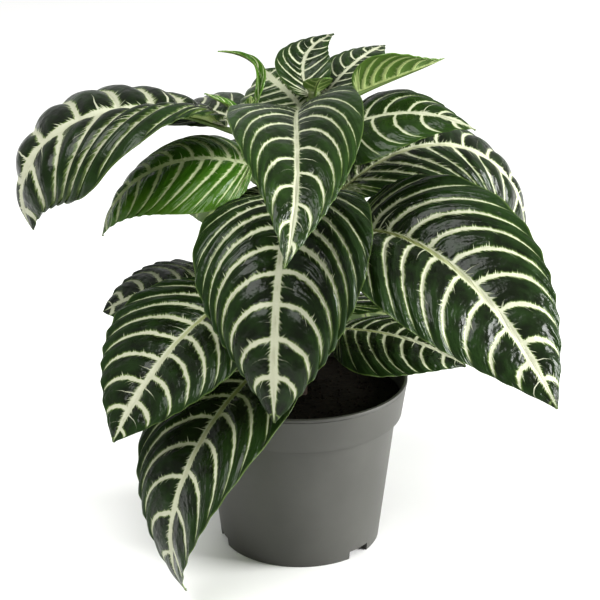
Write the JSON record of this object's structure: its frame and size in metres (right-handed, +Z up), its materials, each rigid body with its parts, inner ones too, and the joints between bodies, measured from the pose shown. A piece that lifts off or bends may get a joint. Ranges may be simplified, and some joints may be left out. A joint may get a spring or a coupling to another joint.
{
  "type": "potted zebra plant",
  "caption": "Foliage house plant in a round nursery pot: broad dark green leaves with cream veins in opposite pairs on an upright leafy stem, with small young leaves at the top",
  "frame": {"origin": "On the ground, at the middle of the pot's flat underside, which is on the pot's axis.", "axes": "+Z is up along the pot's axis. -Y is the plant's front, the side that the picture shows, and +X is to its right as seen from the front."},
  "size_m": [0.3337, 0.359, 0.3284],
  "materials": {
    "pot": "matte",
    "soil": "matte",
    "stem": "satin",
    "leaf": "satin",
    "young_leaf": "satin"
  },
  "bodies": {
    "root": {"pot": "pot", "soil": "soil", "stem": "stem", "leaf_front_over_pot": "leaf", "leaf_back_over_pot": "leaf", "leaf_right_low": "leaf", "leaf_left_back_low": "leaf", "leaf_left_low": "leaf", "leaf_back_low": "leaf", "leaf_right_big": "leaf", "leaf_back_left_mid": "leaf", "leaf_right_back": "leaf", "leaf_front_low": "leaf", "leaf_back_high": "leaf", "leaf_left_far": "leaf", "leaf_left_back": "leaf", "leaf_left_mid": "leaf", "leaf_right_mid": "leaf", "leaf_back_top": "leaf", "leaf_front_top": "leaf", "young_leaf_right": "young_leaf", "young_leaf_upright": "young_leaf", "young_leaf_back": "young_leaf", "young_leaf_tip": "young_leaf", "shoot_leaf_long": "young_leaf", "shoot_leaf_wide": "young_leaf", "shoot_leaf_short": "young_leaf"}
  },
  "joints": []
}
